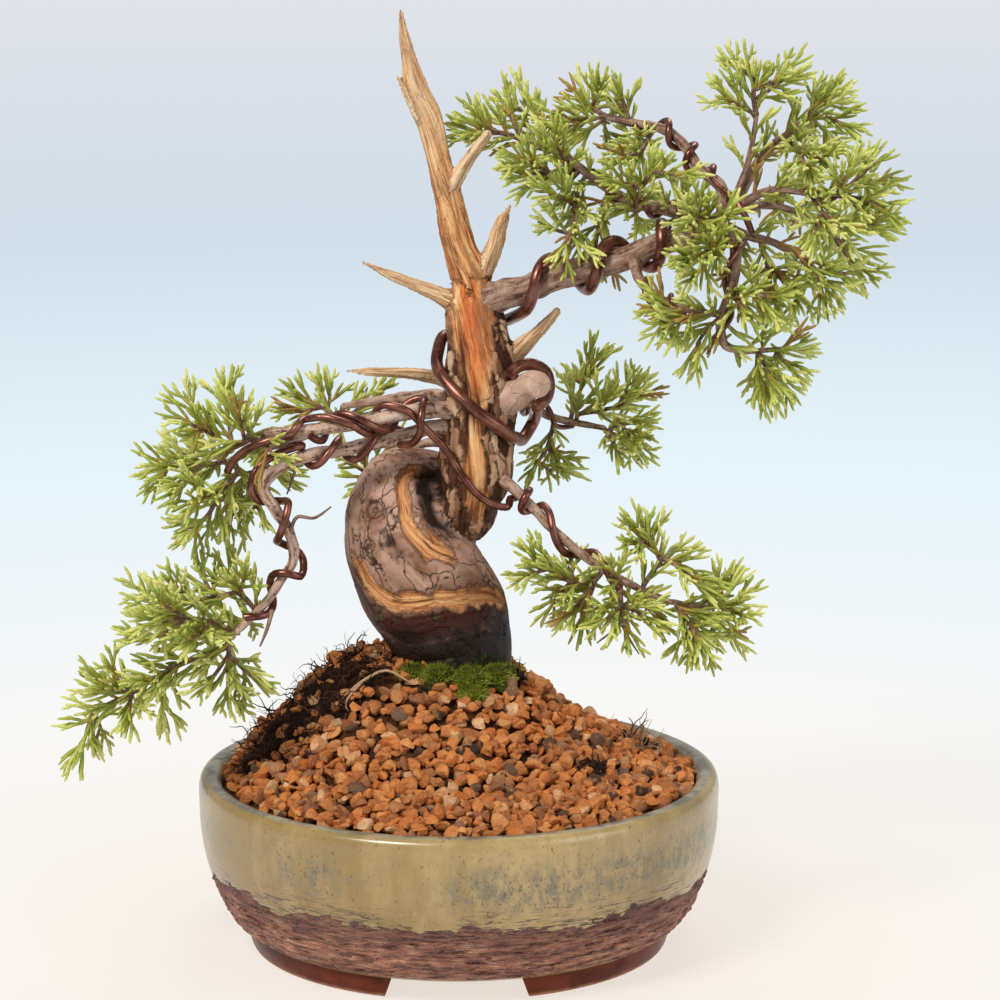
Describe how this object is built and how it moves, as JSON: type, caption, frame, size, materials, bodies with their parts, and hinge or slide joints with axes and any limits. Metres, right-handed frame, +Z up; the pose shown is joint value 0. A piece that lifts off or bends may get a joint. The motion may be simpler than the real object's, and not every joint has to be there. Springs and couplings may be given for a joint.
{
  "type": "potted bonsai tree",
  "caption": "Juniper bonsai with twisted trunk, bare deadwood spire and wired branches with sprays of scale leaves, in a mound of clay granules in a round pot on feet.",
  "frame": {"origin": "under the middle of the whole plant, on the surface the pot's feet stand on", "axes": "+Z up along the pot's axis, -Y towards the front the tree is looked at from, +X to the right"},
  "size_m": [0.2714, 0.17, 0.3032],
  "materials": {
    "pot_glaze": "olive and grey-blue glaze over rough brown clay",
    "clay_granules": "rough baked clay",
    "root_soil": "dark fibrous roots",
    "moss": "soft green moss",
    "bark": "flaky grey-brown bark with bare pale orange deadwood",
    "leaf": "satin green scale leaves",
    "wire": "copper-brown anodised aluminium",
    "mesh_plastic": "matte black plastic mesh"
  },
  "bodies": {
    "root": {"pot": "pot_glaze", "drain_screen_left": "mesh_plastic", "drain_screen_right": "mesh_plastic", "soil": "clay_granules", "root_mat": "root_soil", "rim_roots": "root_soil", "moss": "moss", "tree": "bark", "wire_trunk_crown": "wire", "wire_cross": "wire", "wire_left_upper": "wire", "wire_left_cascade": "wire", "wire_arch": "wire", "wire_crown_left": "wire", "wire_crown_under": "wire", "wire_crown_front": "wire", "wire_rear_right": "wire", "spray_crown_tip": "leaf", "spray_crown_tip_upper": "leaf", "spray_crown_tip_lower": "leaf", "spray_crown_drop_left": "leaf", "spray_crown_drop_right": "leaf", "spray_arch_end": "leaf", "spray_arch_top": "leaf", "spray_arch_under": "leaf", "spray_heart": "leaf", "spray_heart_right": "leaf", "spray_crown_top": "leaf", "spray_crown_high": "leaf", "spray_crown_high_low": "leaf", "spray_crown_right": "leaf", "spray_crown_right_low": "leaf", "spray_crown_rear": "leaf", "spray_crown_rear_mid": "leaf", "spray_crown_low": "leaf", "spray_crown_low_mid": "leaf", "spray_front_upper": "leaf", "spray_front_right": "leaf", "spray_front_left": "leaf", "spray_crown_tail": "leaf", "spray_crown_back": "leaf", "spray_pad_top": "leaf", "spray_pad_left": "leaf", "spray_pad_low": "leaf", "spray_pad_right": "leaf", "spray_rear_left": "leaf", "spray_rear_low": "leaf", "spray_cascade_tip": "leaf", "spray_cascade_upper": "leaf", "spray_cascade_mid": "leaf", "spray_cascade_back": "leaf", "spray_cascade_hang": "leaf", "spray_rear_right": "leaf", "spray_rear_right_upper": "leaf", "spray_rear_right_tuft": "leaf", "spray_rear_right_low": "leaf", "spray_right_inner": "leaf", "spray_right_heart": "leaf", "spray_right_top": "leaf", "spray_right_end": "leaf"}
  },
  "joints": []
}
